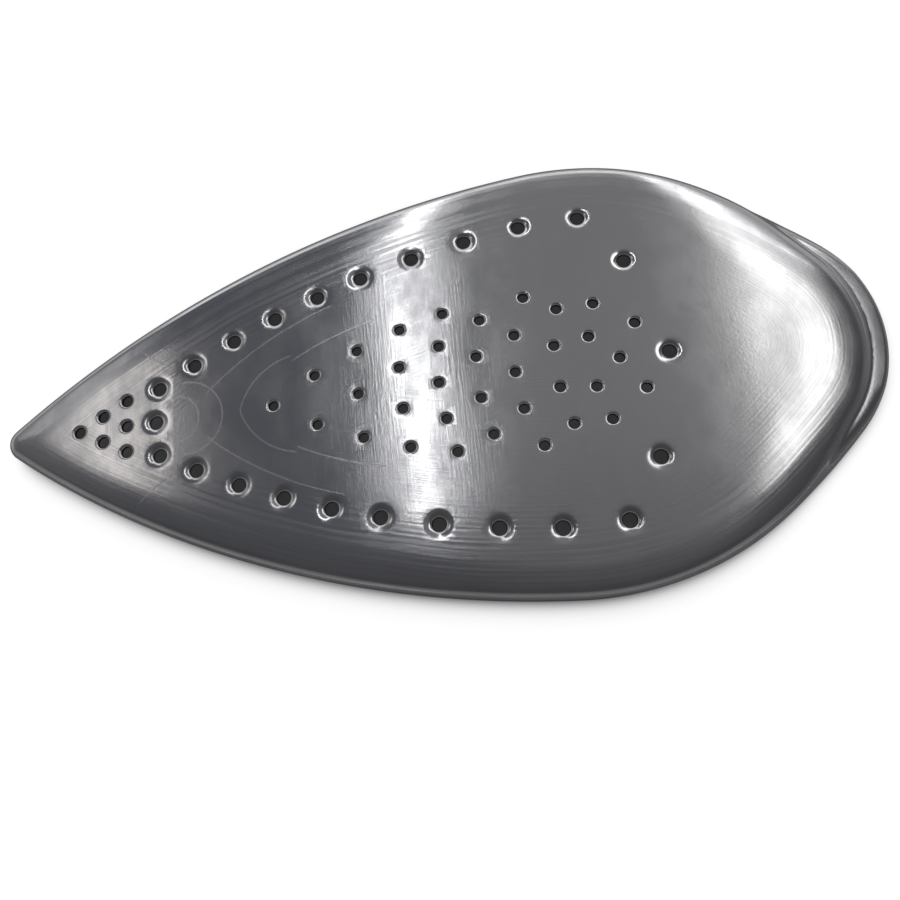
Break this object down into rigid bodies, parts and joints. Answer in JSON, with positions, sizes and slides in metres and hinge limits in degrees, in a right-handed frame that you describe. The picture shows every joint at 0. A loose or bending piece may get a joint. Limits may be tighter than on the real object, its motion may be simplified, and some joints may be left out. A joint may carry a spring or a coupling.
{
  "type": "iron soleplate",
  "caption": "Pressed steel soleplate for a steam iron: pointed nose, round heel with a stepped ledge, rolled edge and steam holes, open underneath.",
  "frame": {"origin": "centre of the bounding box, on the plane of the skirt's lower rim", "axes": "+X along the centre line from the nose to the heel, +Y across to one side, +Z out of the ironing face"},
  "size_m": [0.239, 0.1206, 0.008],
  "materials": {
    "steel": "brushed and polished stainless steel"
  },
  "bodies": {
    "root": {"soleplate": "steel"}
  },
  "joints": []
}
